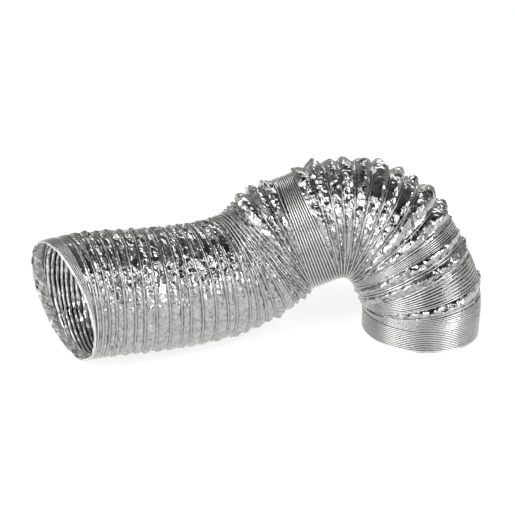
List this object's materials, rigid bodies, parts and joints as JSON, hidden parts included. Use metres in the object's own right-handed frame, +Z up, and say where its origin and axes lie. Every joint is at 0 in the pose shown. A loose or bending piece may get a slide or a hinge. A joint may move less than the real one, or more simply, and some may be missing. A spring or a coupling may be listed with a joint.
{
  "type": "flexible ventilation duct",
  "caption": "Flexible foil duct on a spring-wire coil, standing on one end, bent over in an arch and lying down towards its open mouth.",
  "frame": {"origin": "middle of the duct's box, on the surface that it stands on", "axes": "+X along the longest extent, from the mouth to the standing end; +Z up"},
  "size_m": [0.5714, 0.2668, 0.2246],
  "materials": {
    "outer_foil": "crumpled bright foil laminate",
    "inner_foil": "crumpled foil laminate, duller than the outer ply",
    "spring_wire": "drawn spring-steel wire"
  },
  "bodies": {
    "base_stack": {"outer_foil_base_stack": "outer_foil", "wire_coil_base_stack": "spring_wire", "inner_foil_base_stack": "inner_foil", "foil_stack_bellows": "outer_foil"},
    "upper_stack": {"outer_foil_upper_stack": "outer_foil", "wire_coil_upper_stack": "spring_wire", "inner_foil_upper_stack": "inner_foil", "foil_lower_window": "outer_foil"},
    "shoulder_pack": {"outer_foil_shoulder_pack": "outer_foil", "wire_coil_shoulder_pack": "spring_wire", "inner_foil_shoulder_pack": "inner_foil", "foil_upper_window": "outer_foil"},
    "shoulder_cap": {"outer_foil_shoulder_cap": "outer_foil", "wire_coil_shoulder_cap": "spring_wire", "inner_foil_shoulder_cap": "inner_foil", "foil_arch_bellows": "outer_foil"},
    "crown": {"outer_foil_crown": "outer_foil", "wire_coil_crown": "spring_wire", "inner_foil_crown": "inner_foil", "foil_crown_bellows": "outer_foil"},
    "dense_pack": {"outer_foil_dense_pack": "outer_foil", "wire_coil_dense_pack": "spring_wire", "inner_foil_dense_pack": "inner_foil", "foil_rise_bellows": "outer_foil"},
    "rise_foot": {"outer_foil_rise_foot": "outer_foil", "wire_coil_rise_foot": "spring_wire", "inner_foil_rise_foot": "inner_foil", "foil_sweep_bellows": "outer_foil"},
    "lying_duct": {"outer_foil_lying_duct": "outer_foil", "wire_coil_lying_duct": "spring_wire", "inner_foil_lying_duct": "inner_foil", "foil_lying_bellows": "outer_foil"},
    "lying_end": {"outer_foil_lying_end": "outer_foil", "wire_coil_lying_end": "spring_wire", "inner_foil_lying_end": "inner_foil", "foil_mouth_bellows": "outer_foil"},
    "mouth_pack": {"outer_foil_mouth_pack": "outer_foil", "wire_coil_mouth_pack": "spring_wire", "inner_foil_mouth_pack": "inner_foil"}
  },
  "joints": [
    {"name": "stack_stretch", "type": "slide", "parent": "base_stack", "child": "upper_stack", "axis": [0, 0, 1], "range_m": [0, 0.06], "deforming": ["foil_stack_bellows"]},
    {"name": "lower_window_fold", "type": "hinge", "parent": "upper_stack", "child": "shoulder_pack", "pos_m": [0.1346, 0.0466, 0.0327], "axis": [-0.2756, -0.9613, 0], "range_deg": [-7, 2], "deforming": ["foil_lower_window"]},
    {"name": "upper_window_fold", "type": "hinge", "parent": "shoulder_pack", "child": "shoulder_cap", "pos_m": [0.1307, 0.0557, 0.0451], "axis": [-0.3746, -0.9272, 0], "range_deg": [-8, 2], "deforming": ["foil_upper_window"]},
    {"name": "arch_fold", "type": "hinge", "parent": "shoulder_cap", "child": "crown", "pos_m": [0.1193, 0.0567, 0.0612], "axis": [-0.3132, -0.9497, 0], "range_deg": [-18, 3], "deforming": ["foil_arch_bellows"]},
    {"name": "crown_fold", "type": "hinge", "parent": "crown", "child": "dense_pack", "pos_m": [0.1048, 0.0514, 0.065], "axis": [0, -1, 0], "range_deg": [-26, 2], "deforming": ["foil_crown_bellows"]},
    {"name": "rise_fold", "type": "hinge", "parent": "dense_pack", "child": "rise_foot", "pos_m": [0.0648, 0.0512, 0.0512], "axis": [0.1736, -0.9848, 0], "range_deg": [-7, 2], "deforming": ["foil_rise_bellows"]},
    {"name": "lying_swing", "type": "hinge", "parent": "rise_foot", "child": "lying_duct", "pos_m": [-0.0267, 0.0247, 0.0853], "axis": [0, 0, 1], "range_deg": [-12, 12], "deforming": ["foil_sweep_bellows"]},
    {"name": "lying_stretch", "type": "slide", "parent": "lying_duct", "child": "lying_end", "axis": [-0.9325, -0.358, 0.0471], "range_m": [-0.05, 0.018], "deforming": ["foil_lying_bellows"]},
    {"name": "mouth_turn", "type": "hinge", "parent": "lying_end", "child": "mouth_pack", "pos_m": [-0.2092, -0.0569, 0.0863], "axis": [0, 0, 1], "range_deg": [-8, 8], "deforming": ["foil_mouth_bellows"]}
  ]
}
